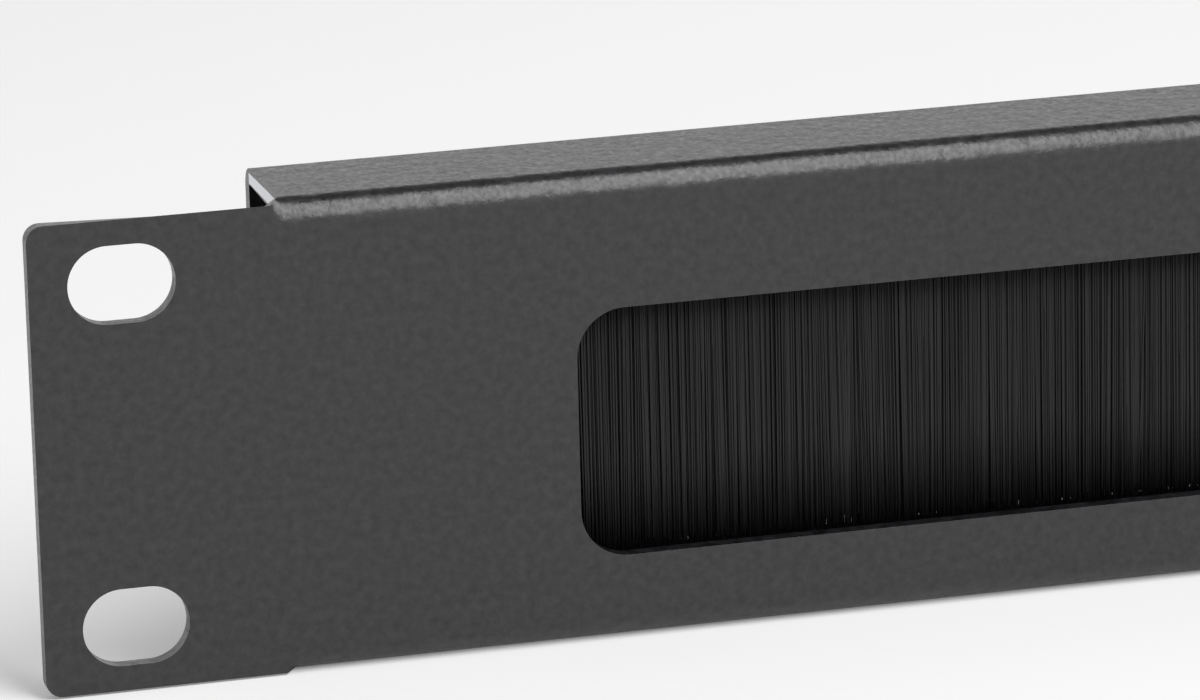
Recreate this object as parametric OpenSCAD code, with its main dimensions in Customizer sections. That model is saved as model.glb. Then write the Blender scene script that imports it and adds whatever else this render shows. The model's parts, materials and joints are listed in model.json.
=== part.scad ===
// Rack brush strip panel, one unit high, for a 19 inch rack.
// A folded steel sheet carries a hanging row of bristles behind a long window, so that
// cables can pass through the rack's front while dust and air stay back.
// X runs along the panel, Y runs from the front face to the rear, and Z points up.
// The origin is the middle of the front face.

/* [Rack slots] */
// Distance between the slot columns
slot_span_x = 465.1; // [464:0.1:467]
// Distance between the upper and lower slots
slot_span_z = 31.75; // [31.5:0.05:32]
// Length of a slot, end to end
slot_l = 9.8; // [8:0.1:12]
// Width of a slot
slot_w = 7.2; // [6.5:0.1:8]

/* [Sheet] */
// Thickness of the coated steel sheet
sheet_t = 1.5; // [1:0.1:2]
// Inner radius of the bends beside the front face
bend_r = 0.9; // [0.5:0.1:2]
// Inner radius of the bends beside the return lips
lip_bend_r = 0.4; // [0.2:0.1:1.5]
// Distance from a slot's middle out to the end of the ear
ear_end = 8.45; // [7.5:0.05:12]
// Distance from a slot's middle in to the folded part
ear_root = 14.95; // [10:0.05:24]
// Distance from a slot's middle to the long edge of the ear beside it
ear_edge = 5.925; // [5.4:0.025:6]
// Height by which the folded part passes the ears, above and below
ear_step = 0.2; // [0:0.05:0.3]
// Radius of the ears' outer corners
ear_corner_r = 1.5; // [0.5:0.1:4]
// Depth of the flanges from the front face
flange_d = 15.5; // [13.5:0.5:24]
// Height of the return lips behind the flanges
lip_h = 4.6; // [3.6:0.1:5]

/* [Window] */
// Length of flat wall between the end of the folded part and the window
window_end = 26.7; // [20:0.1:60]
// Height of wall between the window and the lower edge of the folded part
window_sill = 8; // [6:0.1:12]
// Radius of the window's corners
window_r = 4.5; // [1:0.5:8]

/* [Brush holder] */
// Distance by which the holder passes the window at each end
holder_over = 4; // [2:0.5:8]
// Depth of the holder bar
holder_d = 5.5; // [5:0.1:6]
// Distance from the holder down to the window, and up to the bend
holder_gap = 0.3; // [0.1:0.1:0.5]
// Thickness of the holder's walls beside the brush
holder_wall = 1; // [0.8:0.1:1.2]
// Thickness of the holder above and below the groove for the stud feet
foot_wall = 0.75; // [0.3:0.05:1]

/* [Strip brush] */
// Thickness of the folded steel back
back_t = 0.4; // [0.3:0.05:0.5]
// Height of the folded steel back
back_h = 2.5; // [2.3:0.1:2.6]
// Diameter of the core wire
wire_d = 0.9; // [0.6:0.1:1]
// Length by which the holder passes the brush at each end
brush_inset = 2; // [0.5:0.5:3]
// Distance from the window's lower edge down to the longest bristle tips
tip_drop = 0.25; // [0:0.05:1]
// Height by which the shortest tips stay above the longest
tip_spread = 0.9; // [0:0.1:2]
// Number of bristle clumps along the brush
clumps = 108; // [40:1:118]
// Number of ridges on each side of a clump
clump_ridges = 5; // [3:1:6]
// Depth of the ridges
ridge_d = 0.22; // [0.1:0.02:0.4]
// Widest gap between two clumps
clump_gap = 0.3; // [0.1:0.05:0.6]

/* [Fasteners] */
// Number of welded studs
studs = 6; // [3:1:9]
// Distance from the holder's end to the first stud
stud_inset = 12; // [8:1:40]
// Diameter of the studs
stud_d = 2.9; // [2.9:0.1:3]
// Length of a stud that shows behind its nut
stud_proud = 0.8; // [0.5:0.1:1.8]
// Diameter of a stud's welded foot
foot_d = 4.4; // [4:0.1:4.8]
// Thickness of a stud's welded foot
foot_t = 0.7; // [0.5:0.1:0.8]
// Width of a nut across its flats
nut_af = 5.5; // [5:0.1:5.5]
// Thickness of a nut
nut_t = 2.4; // [1.8:0.1:2.4]
// Diameter of a flat washer
washer_d = 6; // [5.5:0.1:6.4]
// Thickness of a flat washer
washer_t = 0.5; // [0.3:0.1:0.6]
// Diameter of a split spring washer
spring_d = 5.6; // [5:0.1:6]
// Thickness of a split spring washer
spring_t = 0.8; // [0.6:0.1:0.8]

/* [Hidden] */
$fn = 64;
eps = 0.01;
// Play between a hole and the stud inside it, over the radius
hole_play = 0.25;
thread_play = 0.06;
// Play between a stud's foot and the bottom of the holder's groove
relief_play = 0.2;
// Play between the brush back and the holder's pocket, on each side
pocket_play = 0.1;
// Height and width of the lips that keep the back in its pocket
mouth_h = 0.6;
mouth_lip = 0.5;
// Play between the folded bristles and the steel back
root_play = 0.05;
// Thickness of the fold of bristles over the core wire
fold_t = 0.45;
groove_w = 1.2;
split_w = 0.7;

bend_outer_r = bend_r + sheet_t;
lip_outer_r = lip_bend_r + sheet_t;
panel_l = slot_span_x + 2 * ear_end;
flange_l = slot_span_x - 2 * ear_root;
ear_h = slot_span_z + 2 * ear_edge;
body_h = ear_h + 2 * ear_step;
// Height of the flat front wall between the bends
wall_h = body_h - 2 * bend_outer_r;

pocket_w = holder_d - 2 * holder_wall;
pocket_h = mouth_h + back_h + pocket_play;
relief_d = foot_t + relief_play;
relief_h = foot_d + 2 * hole_play;
holder_h = pocket_h + relief_h + 2 * foot_wall;
holder_bottom = wall_h / 2 - holder_gap - holder_h;
holder_back = sheet_t + holder_d;

window_l = flange_l - 2 * window_end;
window_top = holder_bottom - holder_gap;
window_bottom = -body_h / 2 + window_sill;
window_h = window_top - window_bottom;

holder_l = window_l + 2 * holder_over;
brush_l = holder_l - 2 * brush_inset;
brush_y = sheet_t + holder_d / 2;
back_w = pocket_w - 2 * pocket_play;
back_bottom = holder_bottom + mouth_h;
root_w = back_w - 2 * back_t - 2 * root_play;
root_top = back_bottom + back_h - back_t - root_play;
wire_z = root_top - wire_d / 2 - fold_t;
curtain_w = min(root_w, pocket_w - 2 * mouth_lip) - 2 * root_play;
tip_z = window_bottom - tip_drop;

stud_z = holder_bottom + pocket_h + foot_wall + relief_h / 2;
stud_pitch = (holder_l - 2 * stud_inset) / (studs - 1);
washer_y = holder_back;
spring_y = washer_y + washer_t;
nut_y = spring_y + spring_t;
stud_l = nut_y + nut_t + stud_proud - sheet_t;

// Repeatable value from 0 to 1 for each whole number
function scatter(i, seed) = let (v = sin(i * 127.1 + seed * 311.7) * 43758.5) v - floor(v);

// Rectangle with four round corners, about its own middle
module rounded_rect(size, r) {
    square([size[0] - 2 * r, size[1]], center = true);
    square([size[0], size[1] - 2 * r], center = true);
    for (sx = [-1, 1], sy = [-1, 1])
        translate([sx * (size[0] / 2 - r), sy * (size[1] / 2 - r)]) circle(r = r);
}

// Slot with round ends, about its own middle
module obround(l, w) {
    square([l - w, w], center = true);
    for (s = [-1, 1]) translate([s * (l - w) / 2, 0]) circle(d = w);
}

// A drawing in X and Z made solid from y0 towards the rear
module from_front(y0, depth) {
    translate([0, y0 + depth, 0]) rotate([90, 0, 0]) linear_extrude(height = depth) children();
}

// A drawing in Y and Z made solid along X, about the middle of the panel
module along_panel(l) {
    rotate([90, 0, 90]) linear_extrude(height = l, center = true) children();
}

// Repeats a piece at every stud, with its own Z axis turned towards the rear
module at_studs(y) {
    for (i = [0:studs - 1])
        translate([-holder_l / 2 + stud_inset + i * stud_pitch, y, stud_z]) rotate([-90, 0, 0]) children();
}

// Rectangle that starts at x0, with one radius on its front corners and one on its rear
module folded_outline(x0, d, h, r_front, r_rear) {
    translate([x0 + r_front, -h / 2]) square([d - r_front - r_rear, h]);
    translate([x0, -h / 2 + r_front]) square([d / 2, h - 2 * r_front]);
    translate([x0 + d / 2, -h / 2 + r_rear]) square([d / 2, h - 2 * r_rear]);
    for (s = [-1, 1]) {
        translate([x0 + r_front, s * (h / 2 - r_front)]) circle(r = r_front);
        translate([x0 + d - r_rear, s * (h / 2 - r_rear)]) circle(r = r_rear);
    }
}

// Section of the folded sheet: front wall, two flanges and two return lips
module folded_section() {
    difference() {
        folded_outline(0, flange_d, body_h, bend_outer_r, lip_outer_r);
        folded_outline(sheet_t, flange_d - 2 * sheet_t, body_h - 2 * sheet_t, bend_r, lip_bend_r);
        translate([flange_d - sheet_t - eps, -body_h / 2 + lip_h])
            square([sheet_t + 2 * eps, body_h - 2 * lip_h]);
    }
}

// Flat ear with its two outer corners rounded, and the stretch of front wall that it
// runs on into between the bends
module ear_outline() {
    ear_l = ear_root + ear_end;
    intersection() {
        translate([flange_l / 2, 0]) rounded_rect([2 * ear_l, ear_h], ear_corner_r);
        translate([flange_l / 2, -ear_h / 2]) square([ear_l, ear_h]);
    }
    translate([flange_l / 2 - ear_root, -wall_h / 2]) square([2 * ear_root, wall_h]);
}

// One folded sheet: slotted ears, window, flanges and return lips
module panel() {
    color([0.16, 0.16, 0.17])
    difference() {
        union() {
            along_panel(flange_l) folded_section();
            for (m = [0, 1]) mirror([m, 0, 0]) from_front(0, sheet_t) ear_outline();
        }
        from_front(-eps, sheet_t + 2 * eps)
            translate([0, (window_top + window_bottom) / 2])
                rounded_rect([window_l, window_h], window_r);
        for (sx = [-1, 1], sz = [-1, 1])
            from_front(-eps, sheet_t + 2 * eps)
                translate([sx * slot_span_x / 2, sz * slot_span_z / 2]) obround(slot_l, slot_w);
    }
}

// Extruded bar with a pocket for the strip brush, a groove in front that clears the
// stud feet and a shallow guide groove behind
module brush_holder() {
    color([0.1, 0.1, 0.11])
    difference() {
        along_panel(holder_l) difference() {
            translate([sheet_t, holder_bottom]) square([holder_d, holder_h]);
            translate([brush_y - pocket_w / 2, holder_bottom + mouth_h])
                square([pocket_w, pocket_h - mouth_h]);
            translate([brush_y - pocket_w / 2 + mouth_lip, holder_bottom - eps])
                square([pocket_w - 2 * mouth_lip, mouth_h + 2 * eps]);
            translate([sheet_t - eps, stud_z - relief_h / 2]) square([relief_d + eps, relief_h]);
            translate([holder_back, stud_z])
                polygon([[eps, -groove_w / 2], [eps, groove_w / 2], [-groove_w / 3, 0]]);
        }
        at_studs(sheet_t - eps) cylinder(d = stud_d + 2 * hole_play, h = holder_d + 2 * eps);
    }
}

// Folded steel back that grips the bristles over their core wire
module brush_back() {
    color([0.72, 0.73, 0.75])
    along_panel(brush_l) difference() {
        translate([brush_y - back_w / 2, back_bottom]) square([back_w, back_h]);
        translate([brush_y - back_w / 2 + back_t, back_bottom - eps])
            square([back_w - 2 * back_t, back_h - back_t + eps]);
    }
}

module core_wire() {
    color([0.78, 0.78, 0.8])
    along_panel(brush_l) translate([brush_y, wire_z]) circle(d = wire_d, $fn = 24);
}

// Outline in X and Y of one clump, with a row of ridges in front and behind
function clump_outline(x0, w, half) = concat(
    [for (j = [0:2 * clump_ridges]) [x0 + w * j / (2 * clump_ridges), -half + (j % 2) * ridge_d]],
    [for (j = [2 * clump_ridges:-1:0]) [x0 + w * j / (2 * clump_ridges), half - (j % 2) * ridge_d]]);

// Hanging curtain of bristles: clumps of unlike length that part from each other, below
// a root that is folded over the core wire
module bristles() {
    pitch = brush_l / clumps;
    root_bottom = back_bottom - 2 * mouth_h;
    color([0.07, 0.07, 0.075]) {
        difference() {
            translate([-brush_l / 2, brush_y - root_w / 2, back_bottom])
                cube([brush_l, root_w, root_top - back_bottom]);
            along_panel(brush_l + 2 * eps)
                translate([brush_y, wire_z]) circle(d = wire_d + 2 * root_play, $fn = 24);
        }
        translate([-brush_l / 2, brush_y - curtain_w / 2 + ridge_d, root_bottom])
            cube([brush_l, curtain_w - 2 * ridge_d, back_bottom - root_bottom]);
        for (i = [0:clumps - 1]) {
            gap = clump_gap * (0.25 + 0.75 * scatter(i, 1));
            tip = tip_z + tip_spread * pow(scatter(i, 2), 2);
            translate([0, brush_y, tip])
                linear_extrude(height = back_bottom - tip)
                    polygon(clump_outline(-brush_l / 2 + i * pitch, pitch - gap, curtain_w / 2));
        }
    }
}

// Threaded studs, each with a foot where it is welded to the sheet
module weld_studs() {
    tip_chamfer = 0.4;
    color([0.75, 0.62, 0.4])
    at_studs(sheet_t) {
        cylinder(d = foot_d, h = foot_t);
        cylinder(d = stud_d, h = stud_l - tip_chamfer);
        translate([0, 0, stud_l - tip_chamfer])
            cylinder(d1 = stud_d, d2 = stud_d - 2 * tip_chamfer, h = tip_chamfer);
    }
}

module flat_washers() {
    color([0.75, 0.75, 0.77])
    at_studs(washer_y) difference() {
        cylinder(d = washer_d, h = washer_t);
        translate([0, 0, -eps]) cylinder(d = stud_d + 2 * hole_play, h = washer_t + 2 * eps);
    }
}

// Spring washers, each cut through at one place
module spring_washers() {
    color([0.6, 0.6, 0.62])
    at_studs(spring_y) difference() {
        cylinder(d = spring_d, h = spring_t);
        translate([0, 0, -eps]) cylinder(d = stud_d + 2 * hole_play, h = spring_t + 2 * eps);
        translate([0, -split_w / 2, -eps]) cube([spring_d, split_w, spring_t + 2 * eps]);
    }
}

// Hexagonal nuts with their corners turned off on both faces
module hex_nuts() {
    corner_d = nut_af / cos(30);
    turn = (corner_d - nut_af) / 2 * tan(30);
    color([0.78, 0.78, 0.8])
    at_studs(nut_y) difference() {
        intersection() {
            cylinder(d = corner_d, h = nut_t, $fn = 6);
            rotate_extrude() polygon([[0, 0], [nut_af / 2, 0], [corner_d / 2, turn],
                [corner_d / 2, nut_t - turn], [nut_af / 2, nut_t], [0, nut_t]]);
        }
        translate([0, 0, -eps]) cylinder(d = stud_d + 2 * thread_play, h = nut_t + 2 * eps);
    }
}

panel();
brush_holder();
brush_back();
core_wire();
bristles();
weld_studs();
flat_washers();
spring_washers();
hex_nuts();
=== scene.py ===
# %% [markdown]
# # A brush strip panel for a 19 inch rack
# The real object is a folded steel sheet in black powder coat. Behind its long window a
# strip brush hangs in an aluminium bar, and six welded studs with washers and nuts hold
# the bar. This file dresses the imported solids: every piece is modelled again with the
# soft edges, the threads and the loose bristles that the plain solids leave out.

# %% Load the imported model
import json
from math import cos, pi, radians, sin, tan

import bmesh
import bpy
import numpy as np
from mathutils import Matrix, Vector


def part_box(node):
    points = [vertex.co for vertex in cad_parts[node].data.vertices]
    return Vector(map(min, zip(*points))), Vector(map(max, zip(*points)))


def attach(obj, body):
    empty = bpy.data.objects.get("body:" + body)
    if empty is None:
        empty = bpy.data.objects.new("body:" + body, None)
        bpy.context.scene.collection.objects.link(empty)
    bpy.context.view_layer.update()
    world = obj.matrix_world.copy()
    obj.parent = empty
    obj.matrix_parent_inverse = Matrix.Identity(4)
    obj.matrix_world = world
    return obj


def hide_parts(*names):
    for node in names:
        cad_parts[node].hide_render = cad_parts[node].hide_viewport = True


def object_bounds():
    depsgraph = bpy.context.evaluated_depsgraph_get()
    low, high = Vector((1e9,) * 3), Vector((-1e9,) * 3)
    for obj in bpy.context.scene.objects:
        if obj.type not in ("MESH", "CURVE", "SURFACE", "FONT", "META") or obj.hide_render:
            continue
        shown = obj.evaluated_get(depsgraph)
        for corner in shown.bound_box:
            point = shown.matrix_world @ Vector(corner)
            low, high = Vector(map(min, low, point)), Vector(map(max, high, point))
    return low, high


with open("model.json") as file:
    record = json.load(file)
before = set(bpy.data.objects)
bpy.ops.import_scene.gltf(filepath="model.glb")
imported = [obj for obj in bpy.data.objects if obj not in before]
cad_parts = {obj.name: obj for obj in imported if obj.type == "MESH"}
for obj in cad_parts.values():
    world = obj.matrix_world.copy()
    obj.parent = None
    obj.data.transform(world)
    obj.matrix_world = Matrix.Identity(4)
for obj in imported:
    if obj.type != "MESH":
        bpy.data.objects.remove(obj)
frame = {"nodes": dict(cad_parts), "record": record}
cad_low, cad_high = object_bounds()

MM = 0.001
print("nodes:", sorted(frame["nodes"]))
print("box in mm:", [round(v / MM, 2) for v in (*cad_low, *cad_high)])

# %% [markdown]
# ## The camera
# A long lens keeps the panel's edges nearly parallel. The camera is described as a
# photographer would: the point that it aims at, how far it stands back, and how much it
# turns, looks down and tilts. Turning about one axis after another gives its rotation.

# %% Place the camera
AIM = Vector((-188.75, 0, 5.61)) * MM
AIM_DISTANCE = 634.38 * MM
TURN, LOOK_DOWN, TILT = radians(15.311), radians(15.088), radians(1.45)

camera_data = bpy.data.cameras.new("camera")
camera_data.sensor_width = 36
camera_data.lens = 210
camera_data.clip_start, camera_data.clip_end = 0.01, 100
camera = bpy.data.objects.new("camera", camera_data)
bpy.context.scene.collection.objects.link(camera)
camera_turn = (
    Matrix.Rotation(-TURN, 3, "Z")
    @ Matrix.Rotation(pi / 2 - LOOK_DOWN, 3, "X")
    @ Matrix.Rotation(-TILT, 3, "Z")
)
camera.rotation_euler = camera_turn.to_euler()
camera.location = AIM + camera_turn @ Vector((0, 0, AIM_DISTANCE))
bpy.context.scene.camera = camera
bpy.context.scene.view_settings.view_transform = "Standard"
print("camera at", [round(v, 3) for v in camera.location])

# %% [markdown]
# ## Small helpers
# An operator acts on whatever is selected, so each step first makes one piece the only
# selected one. In edit mode, parts of the mesh are then picked by where they lie, which
# is the same as box selecting them by hand but gives the same result every time.

# %% Select one piece, or some parts of its mesh
TINY = 0.01 * MM


def activate(piece):
    """Leave this piece as the only selected and the active one, in object mode."""
    if bpy.context.object is not None and bpy.context.object.mode != "OBJECT":
        bpy.ops.object.mode_set(mode="OBJECT")
    bpy.ops.object.select_all(action="DESELECT")
    piece.select_set(True)
    bpy.context.view_layer.objects.active = piece
    return piece


def edit(piece):
    """Open this piece in edit mode."""
    activate(piece)
    bpy.ops.object.mode_set(mode="EDIT")


def pick(kind, wanted):
    """In edit mode, select the vertices, edges or faces whose middle is wanted."""
    bpy.ops.mesh.select_all(action="DESELECT")
    bpy.ops.mesh.select_mode(type=kind)
    mesh = bpy.context.object.data
    shape = bmesh.from_edit_mesh(mesh)
    parts = {"VERT": shape.verts, "EDGE": shape.edges, "FACE": shape.faces}[kind]
    picked = 0
    for part in parts:
        corners = [part.co] if kind == "VERT" else [v.co for v in part.verts]
        if wanted(sum(corners, Vector()) / len(corners)):
            part.select_set(True)
            picked += 1
    shape.select_flush_mode()
    bmesh.update_edit_mesh(mesh)
    return picked


def near(a, b):
    return abs(a - b) < TINY


# %% Finish a primitive, and apply modifiers
def named(name):
    """Name the new primitive."""
    piece = activate(bpy.context.object)
    piece.name = piece.data.name = name
    bpy.ops.object.transform_apply(location=True, rotation=True, scale=True)
    return piece


def box_piece(name, low, high):
    """A box between two corners."""
    low, high = Vector(low), Vector(high)
    bpy.ops.mesh.primitive_cube_add(size=1, location=(low + high) / 2, scale=high - low)
    return named(name)


def rod(name, centre, radius, length, axis="Z", sides=48):
    """A round bar about its middle, along X, Y or Z."""
    turn = {"X": (0, pi / 2, 0), "Y": (pi / 2, 0, 0), "Z": (0, 0, 0)}[axis]
    bpy.ops.mesh.primitive_cylinder_add(
        vertices=sides, radius=radius, depth=length, location=centre, rotation=turn)
    return named(name)


def apply_modifier(piece, kind, **settings):
    """Add a modifier with these settings and apply it."""
    activate(piece)
    modifier = piece.modifiers.new(kind.title(), kind)
    for key, value in settings.items():
        setattr(modifier, key, value)
    bpy.ops.object.modifier_apply(modifier=modifier.name)
    return piece


def cut(piece, cutter, operation="DIFFERENCE"):
    """Combine a piece with a tool shape, and throw the tool away."""
    apply_modifier(piece, "BOOLEAN", operation=operation, solver="EXACT", object=cutter)
    bpy.data.objects.remove(cutter)
    return piece


def join(first, *others):
    """Put several pieces into the mesh of the first."""
    activate(first)
    for other in others:
        other.select_set(True)
    bpy.ops.object.join()
    return first


def soften(piece, radius, segments=3, corner=radians(50)):
    """Round every edge that is sharper than a corner, and shade the rest smooth."""
    edit(piece)
    bpy.ops.mesh.select_all(action="SELECT")
    bpy.ops.mesh.remove_doubles(threshold=TINY / 10)
    activate(piece)
    for _ in range(2):
        piece.data.materials.append(None)
    apply_modifier(piece, "BEVEL", width=radius, segments=segments, material=1,
                   limit_method="ANGLE", angle_limit=corner)
    rims = np.array([face.material_index for face in piece.data.polygons], dtype=np.float32)
    piece.data.attributes.new("rim", "FLOAT", "FACE").data.foreach_set("value", rims)
    piece.data.polygons.foreach_set("material_index", np.zeros(len(rims), dtype=np.int32))
    piece.data.materials.clear()
    bpy.ops.object.shade_smooth_by_angle(angle=corner)
    return piece


def report(piece):
    """Print how many faces a finished piece has and how far it reaches, in mm."""
    corners = np.array([v.co for v in piece.data.vertices]) / MM
    print(f"{piece.name}: {len(piece.data.polygons)} faces,",
          "low", corners.min(0).round(2), "high", corners.max(0).round(2))


# %% [markdown]
# ## The folded sheet
# On a press brake the sheet starts flat, and each flange is folded about a line. The
# mesh is made the same way: one flat strip is the front wall with its ears, its open
# edges are spun a quarter turn for every bend and extruded for the flat stretches, and
# a Solidify modifier gives the sheet its thickness last, so that every bend keeps one
# true outer and one true inner radius. A subdivided box would leave the bends lumpy.

# %% Sizes of the sheet
rack = next(m for m in frame["record"]["mounts"] if m["name"] == "rack_slots")["dims"]
panel_low, panel_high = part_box("panel")
SHEET = 1.5 * MM
BEND = 2.4 * MM
REAR_BEND = 1.9 * MM
BEND_STEPS = 10
EAR_STEP = 0.2 * MM
LIP_HEIGHT = 4.6 * MM
FOLD_END = 217.6 * MM
FOLD_BLEND = 1.2 * MM
FOLD_LAST = 3 * MM
EAR_CORNER = 1.5 * MM
COAT_EDGE = 0.35 * MM
panel_half = panel_high.x
body_half = panel_high.z
wall_half = body_half - BEND
flange_depth = panel_high.y
print("sheet", panel_half / MM, body_half / MM, flange_depth / MM, "slots", rack)

# %% The flat front strip with its ears
bpy.ops.mesh.primitive_plane_add(size=1, rotation=(pi / 2, 0, 0))
bpy.context.object.scale = (2 * panel_half, 2 * wall_half, 1)
sheet = named("panel_sheet")
edit(sheet)
for end in (-1, 1):
    for x in (FOLD_END + FOLD_BLEND, FOLD_END, FOLD_END - FOLD_LAST):
        bpy.ops.mesh.select_all(action="SELECT")
        bpy.ops.mesh.bisect(plane_co=(end * x, 0, 0), plane_no=(1, 0, 0))
for side in (1, -1):
    pick("EDGE", lambda p: near(p.z, side * wall_half) and abs(p.x) > FOLD_END + FOLD_BLEND)
    rise = side * (body_half - EAR_STEP - wall_half)
    bpy.ops.mesh.extrude_region_move(TRANSFORM_OT_translate={"value": (0, 0, rise)})


# %% Fold both flanges and their return lips
def fold(side, height, depth):
    """Spin the selected open edges a quarter turn about a line along X."""
    bpy.ops.mesh.spin(steps=BEND_STEPS, angle=side * pi / 2, dupli=False,
                      center=(0, depth, side * height), axis=(1, 0, 0))


for side in (1, -1):
    pick("EDGE", lambda p: near(p.z, side * wall_half) and abs(p.x) < FOLD_END and near(p.y, 0))
    fold(side, wall_half, BEND)
    bpy.ops.mesh.extrude_region_move(
        TRANSFORM_OT_translate={"value": (0, flange_depth - BEND - REAR_BEND, 0)})
    fold(side, body_half - REAR_BEND, flange_depth - REAR_BEND)
    bpy.ops.mesh.extrude_region_move(
        TRANSFORM_OT_translate={"value": (0, 0, side * (REAR_BEND - LIP_HEIGHT))})

# %% [markdown]
# Where a bend ends beside an ear, the real sheet is drawn out a little and the coat
# fills the corner. The ear's inner edge is cut into as many steps as the bend, and a
# bridge between the two lets the ear run over into the bend.

# %% Blend the ends of the front bends into the ears
def on_blend(p, side, end):
    """True on the ear's inner edge and on the end of the bend beside it."""
    if side * p.z < wall_half + TINY:
        return False
    ear_side = near(p.x, end * (FOLD_END + FOLD_BLEND))
    bend_side = near(p.x, end * FOLD_END) and p.y < BEND
    return ear_side or bend_side


for side in (1, -1):
    for end in (1, -1):
        pick("EDGE", lambda p: near(p.x, end * (FOLD_END + FOLD_BLEND))
             and side * p.z > wall_half + TINY)
        bpy.ops.mesh.subdivide(number_cuts=BEND_STEPS - 1)
        pick("EDGE", lambda p: on_blend(p, side, end))
        bpy.ops.mesh.bridge_edge_loops()
bpy.ops.mesh.select_all(action="SELECT")
bpy.ops.mesh.remove_doubles(threshold=TINY / 10)
bpy.ops.mesh.normals_make_consistent(inside=False)
activate(sheet)
front = max(sheet.data.polygons, key=lambda face: face.area)
if front.normal.y > 0:
    edit(sheet)
    bpy.ops.mesh.select_all(action="SELECT")
    bpy.ops.mesh.flip_normals()
    activate(sheet)
report(sheet)

# %% Give the sheet its thickness
apply_modifier(sheet, "SOLIDIFY", thickness=SHEET, offset=-1, use_even_offset=True)
report(sheet)

# %% [markdown]
# The window, the slots and the round ears are punched before folding on the real
# sheet. Here it is easier to cut them last: each punch is a box whose four upright
# edges are bevelled round, so that it leaves true arcs.


# %% Punches with round corners
def punch(name, low, high, radius, segments):
    """A box along Y whose corners, seen from the front, are rounded."""
    tool = box_piece(name, low, high)
    edit(tool)
    middle = (Vector(low) + Vector(high)) / 2
    pick("EDGE", lambda p: near(p.y, middle.y)
         and not near(p.x, middle.x) and not near(p.z, middle.z))
    bpy.ops.mesh.bevel(offset=radius, segments=segments, affect="EDGES")
    return activate(tool)


WINDOW_LEFT, WINDOW_BOTTOM, WINDOW_TOP = -190.9 * MM, -14.0 * MM, 9.4 * MM
WINDOW_CORNER = 4.5 * MM
cut_from, cut_to = -SHEET, 2 * SHEET
cut(sheet, punch("window_punch", (WINDOW_LEFT, cut_from, WINDOW_BOTTOM),
                 (-WINDOW_LEFT, cut_to, WINDOW_TOP), WINDOW_CORNER, 14))
slot_reach = Vector((rack["slot_length_mm"] / 2, 0, rack["hole_r_mm"])) * MM
for end in (-1, 1):
    for side in (-1, 1):
        x = end * rack["spacing_x_mm"] / 2 * MM
        z = side * rack["spacing_y_mm"] / 2 * MM
        low, high = Vector((x, cut_from, z)) - slot_reach, Vector((x, cut_to, z)) + slot_reach
        cut(sheet, punch("slot_punch", low, high, slot_reach.z - TINY / 10, 14))
report(sheet)

# %% Round the outer corners of the ears, then every edge
edit(sheet)
pick("EDGE", lambda p: near(abs(p.x), panel_half) and near(p.y, SHEET / 2)
     and near(abs(p.z), body_half - EAR_STEP))
bpy.ops.mesh.bevel(offset=EAR_CORNER, segments=6, affect="EDGES")
activate(sheet)
soften(sheet, COAT_EDGE, corner=radians(72))
report(sheet)

# %% [markdown]
# ## The brush holder
# An extruded bar has the same section all along. It starts as a box at its full size,
# and long tools cut its pocket, its mouth and its two grooves out of it, much as the
# die does. Six cross holes let the studs through.

# %% Bar with its pocket and grooves
holder_low, holder_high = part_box("brush_holder")
back_low, back_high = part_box("brush_back")
stud_low, stud_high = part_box("weld_studs")
STUDS = 6
FOOT_RADIUS, FOOT_HEIGHT = 2.2 * MM, 0.7 * MM
STUD_RADIUS = 1.45 * MM
HOLE_RADIUS = 1.7 * MM
POCKET_PLAY = 0.1 * MM
MOUTH_LIP = 0.5 * MM
RELIEF_DEPTH = 0.9 * MM
stud_z = (stud_low.z + stud_high.z) / 2
stud_xs = np.linspace(stud_low.x + FOOT_RADIUS, stud_high.x - FOOT_RADIUS, STUDS)
past_ends = holder_high.x + 5 * MM


def along(name, y_from, y_to, z_from, z_to):
    """A long box that runs out past both ends of the bar."""
    return box_piece(name, (-past_ends, y_from, z_from), (past_ends, y_to, z_to))


holder = box_piece("brush_holder_bar", holder_low, holder_high)
pocket_front, pocket_rear = back_low.y - POCKET_PLAY, back_high.y + POCKET_PLAY
cut(holder, along("pocket", pocket_front, pocket_rear, back_low.z, back_high.z + POCKET_PLAY))
cut(holder, along("mouth", pocket_front + MOUTH_LIP, pocket_rear - MOUTH_LIP,
                  holder_low.z - MM, back_low.z + TINY))
relief_half = FOOT_RADIUS + HOLE_RADIUS - STUD_RADIUS
cut(holder, along("relief", holder_low.y - MM, holder_low.y + RELIEF_DEPTH,
                  stud_z - relief_half, stud_z + relief_half))

# %% Guide groove in the rear, and the holes for the studs
GROOVE_WIDTH, GROOVE_DEPTH = 1.2 * MM, 0.4 * MM
groove = rod("guide_groove", (0, holder_high.y, stud_z), GROOVE_WIDTH / 2,
             2 * past_ends, axis="X", sides=4)
edit(groove)
pick("VERT", lambda p: near(p.y, holder_high.y - GROOVE_WIDTH / 2))
bpy.ops.transform.translate(value=(0, GROOVE_WIDTH / 2 - GROOVE_DEPTH, 0))
activate(groove)
cut(holder, groove)
drills = [rod("stud_hole", (x, (holder_low.y + holder_high.y) / 2, stud_z),
              HOLE_RADIUS, 2 * (holder_high.y - holder_low.y), axis="Y", sides=40)
          for x in stud_xs]
cut(holder, join(*drills))
soften(holder, 0.15 * MM, segments=2)
report(holder)

# %% [markdown]
# ## The brush's steel back
# The back of a strip brush is a thin band folded into a channel and pressed shut over
# the bristles. It is folded like the panel: a flat strip, a spun bend on each side and
# two extruded legs, then Solidify for the thickness of the band.

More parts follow.
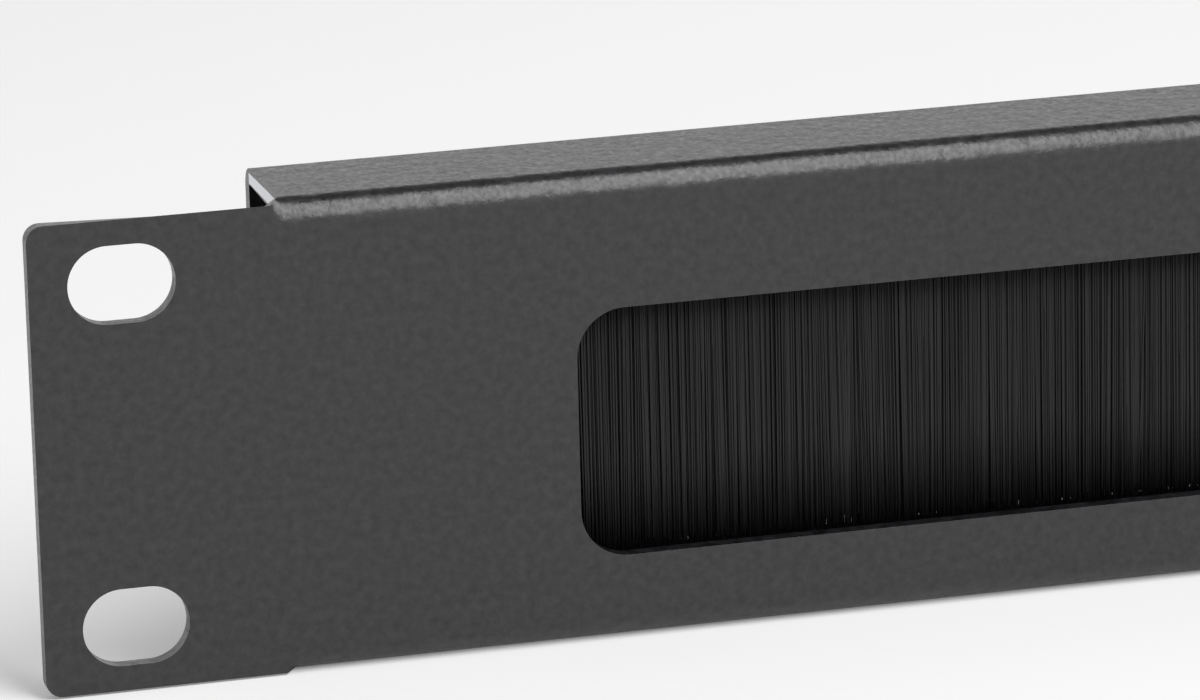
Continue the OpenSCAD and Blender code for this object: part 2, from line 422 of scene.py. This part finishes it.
# %% Fold the channel
BAND = 0.4 * MM
BAND_BEND = 0.8 * MM
back_middle = (back_low.y + back_high.y) / 2
bpy.ops.mesh.primitive_plane_add(size=1, location=(0, back_middle, back_high.z))
bpy.context.object.scale = (2 * back_high.x, back_high.y - back_low.y - 2 * BAND_BEND, 1)
channel = named("brush_channel")
edit(channel)
for side in (-1, 1):
    edge_y = back_middle + side * ((back_high.y - back_low.y) / 2 - BAND_BEND)
    pick("EDGE", lambda p: near(p.y, edge_y) and near(p.x, 0) and near(p.z, back_high.z))
    bpy.ops.mesh.spin(steps=6, angle=side * pi / 2, dupli=False,
                      center=(0, edge_y, back_high.z - BAND_BEND), axis=(1, 0, 0))
    bpy.ops.mesh.extrude_region_move(
        TRANSFORM_OT_translate={"value": (0, 0, back_low.z - back_high.z + BAND_BEND)})
bpy.ops.mesh.select_all(action="SELECT")
bpy.ops.mesh.remove_doubles(threshold=TINY / 10)
bpy.ops.mesh.normals_make_consistent(inside=False)
activate(channel)
top_face = max(channel.data.polygons, key=lambda face: face.center.z)
if top_face.normal.z < 0:
    edit(channel)
    bpy.ops.mesh.select_all(action="SELECT")
    bpy.ops.mesh.flip_normals()
    activate(channel)
apply_modifier(channel, "SOLIDIFY", thickness=BAND, offset=-1, use_even_offset=True)
soften(channel, 0.06 * MM, segments=2, corner=radians(60))
report(channel)

# %% The core wire, with its cut ends rounded
wire_low, wire_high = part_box("core_wire")
wire = rod("core_wire_drawn", (wire_low + wire_high) / 2, (wire_high.z - wire_low.z) / 2,
           wire_high.x - wire_low.x, axis="X", sides=24)
soften(wire, 0.1 * MM, segments=2)
report(wire)

# %% [markdown]
# ## The bristles
# A strip brush holds thousands of nylon filaments. Hair particles would need a live
# system, so one filament is modelled by hand: a slim four-sided rod of unit length, cut
# into a few stretches so that it can lean and curve, with a slightly thinner tip. Its
# few faces matter, because it is copied many thousand times.

# %% Model one filament, one unit long
FILAMENT_CUTS = 2
TIP_SCALE = 0.7
bpy.ops.mesh.primitive_cylinder_add(vertices=4, radius=1, depth=1, location=(0, 0, -0.5))
filament = named("filament")
edit(filament)
for i in range(1, FILAMENT_CUTS + 1):
    bpy.ops.mesh.select_all(action="SELECT")
    bpy.ops.mesh.bisect(plane_co=(0, 0, -i / (FILAMENT_CUTS + 1)), plane_no=(0, 0, 1))
pick("VERT", lambda p: p.z < TINY - 1)
bpy.ops.transform.resize(value=(TIP_SCALE, TIP_SCALE, 1))
activate(filament)
unit_points = np.array([v.co for v in filament.data.vertices])
unit_faces = [list(face.vertices) for face in filament.data.polygons]
bpy.data.objects.remove(filament)
print("one filament:", len(unit_points), "points,", len(unit_faces), "faces")

# %% [markdown]
# The filaments hang in tufts. Inside a tuft they lean together and draw towards its
# middle, so that dark slits open between the tufts and widen towards the tips. Three
# layers, each with tufts of its own, keep light from passing straight through. A seeded
# generator makes the same brush on every run.

# %% Work out the root, the lean and the tip of every filament
rng = np.random.default_rng(19)
FILAMENTS_PER_LAYER = 6900
LAYERS = 3
FILAMENT_RADIUS = (0.070 * MM, 0.095 * MM)
TUFT_WIDTH = (0.8 * MM, 4.0 * MM)
TUFT_LEAN = 0.10 * MM
TUFT_DRAW = (0.0, 0.035)
OWN_LEAN = 0.08 * MM
STRAY_SHARE, STRAY_LEAN = 0.015, 0.6 * MM
CALM = 0.3
curtain_low, curtain_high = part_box("bristles")
curtain_middle = (curtain_low.y + curtain_high.y) / 2
CURTAIN_THICK = 2.3 * MM
TIP_SPREAD = 0.9 * MM
HANG_BEHIND = 0.75 * MM


def tufts(low, high):
    """Edges of neighbouring tufts of uneven width between two ends."""
    edges = [low]
    while edges[-1] < high:
        width = TUFT_WIDTH[0] + (TUFT_WIDTH[1] - TUFT_WIDTH[0]) * rng.random() ** 1.7
        edges.append(edges[-1] + width)
    return np.array(edges)


def layer_of_filaments(layer):
    """Root x and y, lean at the tip, radius and length of one layer's filaments."""
    n = FILAMENTS_PER_LAYER
    radius = rng.uniform(*FILAMENT_RADIUS, n)
    reach = curtain_high.x - FILAMENT_RADIUS[1]
    x = -reach + 2 * reach * (np.arange(n) + rng.random(n)) / n
    thick = CURTAIN_THICK / LAYERS
    front = curtain_middle - CURTAIN_THICK / 2 + layer * thick
    y = rng.uniform(front + radius, front + thick - radius)
    edges = tufts(curtain_low.x, curtain_high.x)
    home = np.clip(np.searchsorted(edges, x) - 1, 0, len(edges) - 2)
    middle = (edges[home] + edges[home + 1]) / 2
    lean = rng.normal(0, TUFT_LEAN, len(edges))[home]
    draw = rng.uniform(*TUFT_DRAW, len(edges))[home]
    own = rng.normal(0, OWN_LEAN, n)
    stray = rng.random(n) < STRAY_SHARE
    own[stray] += rng.normal(0, STRAY_LEAN, stray.sum())
    lean_x = (lean + draw * (middle - x)) * (CALM if layer else 1) + own
    lean_y = rng.normal(0, 0.05 * MM, n)
    tip = curtain_low.z + TIP_SPREAD * rng.random(n) ** 2 - HANG_BEHIND * min(layer, 1)
    return x, y, lean_x, lean_y, radius, tip


# %% Copy the filament along the brush
def build_filaments(name, x, y, lean_x, lean_y, radius, tip):
    """One mesh that holds a bent copy of the unit filament for each root."""
    n = len(x)
    wire_reach = (wire_high.y - wire_low.y) / 2 + radius
    beside_wire = abs(y - curtain_middle) > wire_reach
    root = np.where(beside_wire, curtain_high.z - 0.1 * MM, wire_low.z - radius)
    along_it = -unit_points[:, 2][None, :]
    z = root[:, None] - along_it * (root - tip)[:, None]
    free = np.clip((back_low.z - z) / (back_low.z - curtain_low.z), 0, 1) ** 1.35
    px = x[:, None] + unit_points[:, 0] * radius[:, None] + lean_x[:, None] * free
    py = y[:, None] + unit_points[:, 1] * radius[:, None] + lean_y[:, None] * free
    px = np.clip(px, curtain_low.x, curtain_high.x)
    py = np.clip(py, curtain_low.y, curtain_high.y)
    points = np.stack([px, py, z], axis=2).reshape(-1, 3)
    step = len(unit_points)
    faces = [[i + k * step for i in face] for k in range(n) for face in unit_faces]
    mesh = bpy.data.meshes.new(name)
    mesh.from_pydata(points.tolist(), [], faces)
    shade = mesh.attributes.new("filament_shade", "FLOAT", "POINT")
    shade.data.foreach_set("value", np.repeat(rng.random(n), step).astype(np.float32))
    mesh.shade_smooth()
    piece = bpy.data.objects.new(name, mesh)
    bpy.context.collection.objects.link(piece)
    return piece


bristle_pieces = []
for layer, where in enumerate(("front", "middle", "rear")):
    values = layer_of_filaments(layer)
    bristle_pieces.append(build_filaments(f"bristles_{where}", *values))
    report(bristle_pieces[-1])

# %% [markdown]
# ## Studs, washers and nuts
# Each small part is modelled once, standing on its axis at the origin, and a copy with
# its own mesh is then set at every stud. The thread is a zigzag line of one pitch that
# a Screw modifier winds up the stud, which gives a true helix with few faces.


# %% Draw a line point by point, and set a part at every stud
def draw_line(name, first, steps):
    """Start from one vertex and extrude it along these steps."""
    bpy.ops.mesh.primitive_plane_add(size=MM, location=first)
    line = named(name)
    edit(line)
    bpy.ops.mesh.select_all(action="SELECT")
    bpy.ops.mesh.merge(type="CENTER")
    for step in steps:
        bpy.ops.mesh.extrude_region_move(TRANSFORM_OT_translate={"value": step})
    return activate(line)


def at_studs(piece, depth):
    """Join a copy of the part at every stud, with its axis along Y."""
    name = piece.name
    copies = []
    for x in stud_xs:
        copy = piece.copy()
        copy.data = piece.data.copy()
        copy.data.transform(Matrix.Translation((x, depth, stud_z))
                            @ Matrix.Rotation(-pi / 2, 4, "X"))
        bpy.context.collection.objects.link(copy)
        copies.append(copy)
    bpy.data.objects.remove(piece)
    row = join(*copies)
    row.name = row.data.name = name
    report(row)
    return row


# %% A stud with a rolled thread and a welded foot
PITCH = 0.5 * MM
THREAD_DEPTH = 0.27 * MM
TIP_CHAMFER = 0.35 * MM
stud_length = stud_high.y - stud_low.y
turns = int(stud_length / PITCH) + 3
flank = (THREAD_DEPTH, 0, 0.375 * PITCH)
thread = draw_line("weld_studs_threaded", (STUD_RADIUS - THREAD_DEPTH, 0, -2 * PITCH),
                   [flank, (0, 0, 0.125 * PITCH), (-flank[0], 0, flank[2]), (0, 0, 0.125 * PITCH)])
apply_modifier(thread, "SCREW", axis="Z", angle=2 * pi, screw_offset=PITCH, iterations=turns,
               steps=24, render_steps=24, use_merge_vertices=True, merge_threshold=TINY / 10)
edit(thread)
bpy.ops.mesh.select_all(action="SELECT")
bpy.ops.mesh.remove_doubles(threshold=TINY / 10)
for z, side in ((FOOT_HEIGHT / 2, -1), (stud_length, 1)):
    bpy.ops.mesh.select_all(action="SELECT")
    bpy.ops.mesh.bisect(plane_co=(0, 0, z), plane_no=(0, 0, side), clear_outer=True,
                        threshold=TINY / 100)
    pick("EDGE", lambda p: near(p.z, z))
    bpy.ops.mesh.edge_face_add()
bpy.ops.mesh.select_all(action="SELECT")
bpy.ops.mesh.normals_make_consistent(inside=False)
activate(thread)
trim = rod("trim", (0, 0, stud_length / 2), STUD_RADIUS + TINY, stud_length - 2 * TINY)
edit(trim)
pick("FACE", lambda p: near(p.z, stud_length - TINY))
bpy.ops.mesh.bevel(offset=TIP_CHAMFER, segments=1, affect="EDGES")
activate(trim)
cut(thread, trim, "INTERSECT")
foot = soften(rod("foot", (0, 0, FOOT_HEIGHT / 2), FOOT_RADIUS, FOOT_HEIGHT), 0.1 * MM)
cut(thread, foot, "UNION")
activate(thread)
bpy.ops.object.shade_smooth_by_angle(angle=radians(35))
studs = at_studs(thread, stud_low.y)


# %% Flat washers
def ring(name, outer, inner, height):
    """A flat ring that stands on the origin."""
    disc = rod(name, (0, 0, height / 2), outer, height)
    return cut(disc, rod("bore", (0, 0, height / 2), inner, 2 * height))


washer_low, washer_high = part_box("flat_washers")
washer_thick = washer_high.y - washer_low.y
washer_radius = (washer_high.z - washer_low.z) / 2
washer = ring("flat_washers_stamped", washer_radius, HOLE_RADIUS, washer_thick)
washers = at_studs(soften(washer, 0.07 * MM, segments=2), washer_low.y)

# %% Split spring washers: a square section spun almost all the way round
spring_low, spring_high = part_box("spring_washers")
spring_thick = spring_high.y - spring_low.y
spring_radius = (spring_high.z - spring_low.z) / 2
SPLIT = 0.7 * MM
section_middle = (spring_radius + HOLE_RADIUS) / 2
half_split = SPLIT / 2 / section_middle
bpy.ops.mesh.primitive_plane_add(size=1, rotation=(pi / 2, 0, 0),
                                 location=(section_middle, 0, spring_thick / 2))
bpy.context.object.scale = (spring_radius - HOLE_RADIUS, spring_thick, 1)
spring = named("spring_washers_split")
spring.data.transform(Matrix.Rotation(half_split, 4, "Z"))
edit(spring)
bpy.ops.mesh.select_all(action="SELECT")
bpy.ops.mesh.spin(steps=44, angle=2 * (pi - half_split), dupli=False,
                  center=(0, 0, 0), axis=(0, 0, -1))
bpy.ops.mesh.select_all(action="SELECT")
bpy.ops.mesh.normals_make_consistent(inside=False)
activate(spring)
springs = at_studs(soften(spring, 0.06 * MM, segments=2), spring_low.y)

# %% Hexagon nuts: a prism inside a turned barrel, with a bore
nut_low, nut_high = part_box("hex_nuts")
nut_thick = nut_high.y - nut_low.y
nut_corner = nut_high.x - stud_xs[-1]
nut_flat = nut_corner * cos(pi / 6)
turned = (nut_corner - nut_flat) * tan(pi / 6)
nut = rod("hex_nuts_turned", (0, 0, nut_thick / 2), nut_corner, nut_thick, sides=6)
nut.data.transform(Matrix.Rotation(pi / 6, 4, "Z"))
barrel = rod("barrel", (0, 0, nut_thick / 2), nut_corner + TINY, nut_thick - 2 * turned, sides=90)
edit(barrel)
for z, rise in ((nut_thick - turned, turned), (turned, -turned)):
    pick("FACE", lambda p: near(p.z, z))
    bpy.ops.mesh.extrude_region_move(TRANSFORM_OT_translate={"value": (0, 0, rise)})
    narrow = nut_flat / nut_corner
    bpy.ops.transform.resize(value=(narrow, narrow, 1))
activate(barrel)
cut(nut, barrel, "INTERSECT")
cut(nut, rod("bore", (0, 0, nut_thick / 2), STUD_RADIUS + 0.06 * MM, 2 * nut_thick))
nuts = at_studs(soften(nut, 0.05 * MM, segments=2, corner=radians(25)), nut_low.y)

# %% [markdown]
# ## Finishes
# Every finish is a small node graph on Object coordinates, so its grain keeps one true
# size in metres on every piece. A helper adds a node and sets it up in one line.


# %% Helpers for node graphs
def new_finish(name, colour, roughness, metallic=0.0, ior=1.5):
    """A material with a Principled shader; returns the material, its tree and shader."""
    material = bpy.data.materials.new(name)
    material.use_nodes = True
    tree = material.node_tree
    shader = tree.nodes["Principled BSDF"]
    shader.inputs["Base Color"].default_value = (*colour, 1)
    shader.inputs["Roughness"].default_value = roughness
    shader.inputs["Metallic"].default_value = metallic
    shader.inputs["IOR"].default_value = ior
    return material, tree, shader


def add_node(tree, kind, values=None, **settings):
    """Add a node, set its options and the values of its sockets."""
    node = tree.nodes.new(kind)
    for key, value in settings.items():
        setattr(node, key, value)
    for socket, value in (values or {}).items():
        node.inputs[socket].default_value = value
    return node


def object_coordinates(tree, stretch=(1, 1, 1)):
    """Object coordinates, multiplied by a stretch along each axis."""
    place = add_node(tree, "ShaderNodeTexCoord")
    mapping = add_node(tree, "ShaderNodeMapping", {"Scale": stretch})
    tree.links.new(place.outputs["Object"], mapping.inputs["Vector"])
    return mapping.outputs["Vector"]


def noise(tree, vector, grain, detail=2.0, roughness=0.5):
    """Noise whose lumps are about one grain across, from 0 to 1."""
    texture = add_node(tree, "ShaderNodeTexNoise",
                       {"Scale": 1 / grain, "Detail": detail, "Roughness": roughness})
    tree.links.new(vector, texture.inputs["Vector"])
    return texture.outputs["Fac"]


def spread(tree, value, low, high, from_low=0.3, from_high=0.7):
    """Map a value between two levels to a new range."""
    node = add_node(tree, "ShaderNodeMapRange", {
        "From Min": from_low, "From Max": from_high, "To Min": low, "To Max": high})
    tree.links.new(value, node.inputs["Value"])
    return node.outputs["Result"]


def blend_colours(tree, factor, first, second):
    """Mix two colours by a factor."""
    mix = add_node(tree, "ShaderNodeMix", data_type="RGBA")
    mix.inputs["A"].default_value = (*first, 1)
    mix.inputs["B"].default_value = (*second, 1)
    tree.links.new(factor, mix.inputs["Factor"])
    return mix.outputs["Result"]


def add_bump(tree, shader, heights):
    """Stack bumps, each a height output with the depth of its relief."""
    normal = None
    for height, depth in heights:
        bump = add_node(tree, "ShaderNodeBump", {"Strength": 1.0, "Distance": depth})
        tree.links.new(height, bump.inputs["Height"])
        if normal is not None:
            tree.links.new(normal, bump.inputs["Normal"])
        normal = bump.outputs["Normal"]
    tree.links.new(normal, shader.inputs["Normal"])


def paint(piece, material):
    """Give a piece this one material."""
    piece.data.materials.clear()
    piece.data.materials.append(material)


# %% [markdown]
# Black powder coat is a thick plastic skin. It flows out in the oven but keeps a fine
# orange peel, a much finer grain, and here and there a grain of dust under the skin.
# Three bumps of unlike size make these, and the colour hardly varies.

# %% Powder coat
powder_coat, tree, shader = new_finish("powder_coat", (0.008, 0.008, 0.009), 0.32, ior=1.6)
spot = object_coordinates(tree)
peel = noise(tree, spot, 1.4 * MM, detail=1.0)
grain = noise(tree, spot, 0.42 * MM, detail=2.0)
cloud = noise(tree, spot, 0.9 * MM, detail=3.0, roughness=0.6)
coat = blend_colours(tree, spread(tree, cloud, 0, 1), (0.0010, 0.0010, 0.0016),
                     (0.0230, 0.0230, 0.0260))
rim = add_node(tree, "ShaderNodeAttribute", attribute_name="rim").outputs["Fac"]
tree.links.new(spread(tree, grain, 0.27, 0.40), shader.inputs["Roughness"])
dust = add_node(tree, "ShaderNodeTexVoronoi", {"Scale": 1 / (11 * MM)})
tree.links.new(spot, dust.inputs["Vector"])
dust_height = spread(tree, dust.outputs["Distance"], 1, 0, 0.008, 0.020)
add_bump(tree, shader, [(peel, 0.080 * MM), (grain, 0.030 * MM), (dust_height, 0.03 * MM)])

# %% [markdown]
# The rims of every rounded edge are painted lighter, a painted highlight for the light they
# catch. At the cut ends of the flanges the hanging hook has rubbed the zinc layer bright.

# %% Painted highlight on the rims, and bare metal on the cut ends of the flanges
# The bevelled rim faces get a lighter grey: a painted highlight standing in for the light the rounded
# edges catch.
rim_painted_highlight = add_node(tree, "ShaderNodeMix", data_type="RGBA")
rim_painted_highlight.inputs["B"].default_value = (0.19, 0.19, 0.20, 1)
tree.links.new(coat, rim_painted_highlight.inputs["A"])
tree.links.new(rim, rim_painted_highlight.inputs["Factor"])
axes = add_node(tree, "ShaderNodeSeparateXYZ")
tree.links.new(spot, axes.inputs[0])


def size_of(tree, value):
    """The value without its sign."""
    node = add_node(tree, "ShaderNodeMath", operation="ABSOLUTE")
    tree.links.new(value, node.inputs[0])
    return node.outputs[0]


def times(tree, first, second):
    """Two values multiplied."""
    node = add_node(tree, "ShaderNodeMath", operation="MULTIPLY")
    tree.links.new(first, node.inputs[0])
    tree.links.new(second, node.inputs[1])
    return node.outputs[0]


BLUR = 0.08 * MM
far_out = spread(tree, size_of(tree, axes.outputs["X"]), 0, 1, FOLD_END - BLUR, FOLD_END - BLUR / 2)
past_bend = spread(tree, axes.outputs["Y"], 0, 1, BEND, BEND + BLUR)
before_lip = spread(tree, axes.outputs["Y"], 1, 0, flange_depth - SHEET - BLUR, flange_depth - SHEET)
height = size_of(tree, axes.outputs["Z"])
above_inside = spread(tree, height, 0, 1, body_half - SHEET, body_half - SHEET + BLUR)
below_top = spread(tree, height, 1, 0, body_half - 0.5 * MM, body_half - 0.4 * MM)
bare = times(tree, times(tree, far_out, times(tree, past_bend, before_lip)),
             times(tree, above_inside, below_top))
mix_bare = add_node(tree, "ShaderNodeMix", data_type="RGBA")
mix_bare.inputs["B"].default_value = (0.70, 0.71, 0.74, 1)
tree.links.new(rim_painted_highlight.outputs["Result"], mix_bare.inputs["A"])
tree.links.new(bare, mix_bare.inputs["Factor"])
tree.links.new(mix_bare.outputs["Result"], shader.inputs["Base Color"])
tree.links.new(bare, shader.inputs["Metallic"])
paint(sheet, powder_coat)

# %% [markdown]
# The holder is an aluminium extrusion. Its die leaves fine lines along its length, so
# the noise is stretched a hundred times along X. The zinc and copper parts are plated
# metal: their colour is almost even, and most of their life is in the roughness.

# %% Anodised bar
holder_black, tree, shader = new_finish("holder_black", (0.014, 0.014, 0.015), 0.4)
lines = noise(tree, object_coordinates(tree, (0.01, 1, 1)), 0.12 * MM, detail=2.0)
tree.links.new(spread(tree, lines, 0.30, 0.48), shader.inputs["Roughness"])
add_bump(tree, shader, [(lines, 0.004 * MM)])
paint(holder, holder_black)


# %% Plated metals
def plated(name, dark, light, rough, grain, relief):
    """A plated metal: two close colours, uneven gloss and a faint relief."""
    material, tree, shader = new_finish(name, light, rough, metallic=1.0)
    spot = object_coordinates(tree)
    patches = noise(tree, spot, grain, detail=3.0, roughness=0.6)
    tree.links.new(blend_colours(tree, spread(tree, patches, 0, 1), dark, light),
                   shader.inputs["Base Color"])
    tree.links.new(spread(tree, patches, rough + 0.07, rough - 0.07), shader.inputs["Roughness"])
    add_bump(tree, shader, [(noise(tree, spot, grain / 4, detail=2.0), relief)])
    return material


paint(channel, plated("zinc_sheet", (0.50, 0.51, 0.53), (0.62, 0.63, 0.65), 0.38, 2.5 * MM, 0.003 * MM))
paint(wire, plated("zinc_wire", (0.52, 0.52, 0.54), (0.64, 0.64, 0.66), 0.34, 0.8 * MM, 0.002 * MM))
paint(studs, plated("copper_plate", (0.58, 0.30, 0.17), (0.74, 0.42, 0.26), 0.34, 0.7 * MM, 0.002 * MM))
bright_zinc = plated("zinc_plate", (0.58, 0.60, 0.64), (0.70, 0.72, 0.75), 0.28, 0.9 * MM, 0.002 * MM)
paint(washers, bright_zinc)
paint(nuts, bright_zinc)
paint(springs, plated("spring_zinc", (0.34, 0.34, 0.36), (0.46, 0.46, 0.47), 0.34, 0.7 * MM, 0.003 * MM))

# %% [markdown]
# Each filament carries a random shade that was stored on its points. The shader reads
# it, so that neighbours differ a little in tone and gloss, as cut nylon does.

# %% Nylon filament
bristle_nylon, tree, shader = new_finish("bristle_nylon", (0.020, 0.020, 0.021), 0.55, ior=1.4)
own_shade = add_node(tree, "ShaderNodeAttribute", attribute_name="filament_shade").outputs["Fac"]
tree.links.new(blend_colours(tree, own_shade, (0.019, 0.019, 0.0195), (0.027, 0.027, 0.028)),
               shader.inputs["Base Color"])
tree.links.new(spread(tree, own_shade, 0.50, 0.65, 0, 1), shader.inputs["Roughness"])
for layer in bristle_pieces:
    paint(layer, bristle_nylon)

# %% [markdown]
# ## Floor and light
# The panel stands on a white floor in an even, white studio. The world is white up to
# some height and dim above it, like a ceiling. One large softbox hangs above and leans
# forward, so that it draws a long highlight on the upper bend. The floor is a matt white
# with a faint glow that only the camera and reflections see, so it looks white but
# keeps the panel's shadow.

# %% Floor
bpy.ops.mesh.primitive_plane_add(size=8, location=(0, 0, cad_low.z))
floor = named("floor")
floor_white, tree, shader = new_finish("floor_white", (0.86, 0.86, 0.86), 0.9)
shader.inputs["Specular IOR Level"].default_value = 0.0


def seen_directly(tree):
    """1 for rays from the camera, from gloss and through glass, and 0 for other light."""
    path = add_node(tree, "ShaderNodeLightPath")
    total = path.outputs["Is Camera Ray"]
    for kind in ("Is Glossy Ray", "Is Transmission Ray"):
        add = add_node(tree, "ShaderNodeMath", operation="ADD", use_clamp=True)
        tree.links.new(total, add.inputs[0])
        tree.links.new(path.outputs[kind], add.inputs[1])
        total = add.outputs[0]
    return total


FLOOR_GLOW = 0.20
glow = add_node(tree, "ShaderNodeMath", operation="MULTIPLY")
glow.inputs[1].default_value = FLOOR_GLOW
tree.links.new(seen_directly(tree), glow.inputs[0])
shader.inputs["Emission Color"].default_value = (1, 1, 1, 1)
tree.links.new(glow.outputs[0], shader.inputs["Emission Strength"])
paint(floor, floor_white)

# %% World
WORLD_LIGHT = 0.32
CEILING = 0.15
world = bpy.data.worlds.new("studio")
bpy.context.scene.world = world
world.use_nodes = True
tree = world.node_tree
tree.nodes.clear()
direction = add_node(tree, "ShaderNodeTexCoord")
axes = add_node(tree, "ShaderNodeSeparateXYZ")
tree.links.new(direction.outputs["Generated"], axes.inputs[0])
height = spread(tree, axes.outputs["Z"], 1.0, CEILING, sin(radians(24)), sin(radians(34)))
shown = add_node(tree, "ShaderNodeBackground", {"Color": (1, 1, 1, 1)})
tree.links.new(height, shown.inputs["Strength"])
lighting = add_node(tree, "ShaderNodeBackground", {"Color": (1, 1, 1, 1), "Strength": WORLD_LIGHT})
choose = add_node(tree, "ShaderNodeMixShader")
tree.links.new(seen_directly(tree), choose.inputs[0])
tree.links.new(lighting.outputs[0], choose.inputs[1])
tree.links.new(shown.outputs[0], choose.inputs[2])
world_output = add_node(tree, "ShaderNodeOutputWorld")
tree.links.new(choose.outputs[0], world_output.inputs["Surface"])


# %% Softboxes
def softbox(name, aside, lean, distance, width, depth, radiance):
    """A lamp above the panel, to one side and leaned forward, that isn't seen itself."""
    data = bpy.data.lights.new(name, "AREA")
    data.shape = "RECTANGLE"
    data.size, data.size_y = width, depth
    data.energy = radiance * pi * width * depth
    lamp = bpy.data.objects.new(name, data)
    bpy.context.scene.collection.objects.link(lamp)
    lamp.location = (aside, -distance * sin(lean), distance * cos(lean))
    lamp.rotation_euler = (lean, 0, 0)
    lamp.visible_camera = False
    return lamp


softbox("softbox_above", 0.20, radians(30), 1.3, 0.55, 1.6, 6.0)

# %% Say what each piece stands for
DRESSED = [
    (sheet, "panel", "powder_coat"),
    (holder, "brush_holder", "holder_black"),
    (channel, "brush_back", "zinc_sheet"),
    (wire, "core_wire", "zinc_wire"),
    *[(layer, "bristles", "bristle_nylon") for layer in bristle_pieces],
    (studs, "weld_studs", "copper_plate"),
    (washers, "flat_washers", "zinc_plate"),
    (springs, "spring_washers", "spring_zinc"),
    (nuts, "hex_nuts", "zinc_plate"),
]
for piece, node, material_slot in DRESSED:
    if node != "bristles":
        apply_modifier(piece, "WEIGHTED_NORMAL", keep_sharp=True)
    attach(piece, "root")
    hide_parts(node)
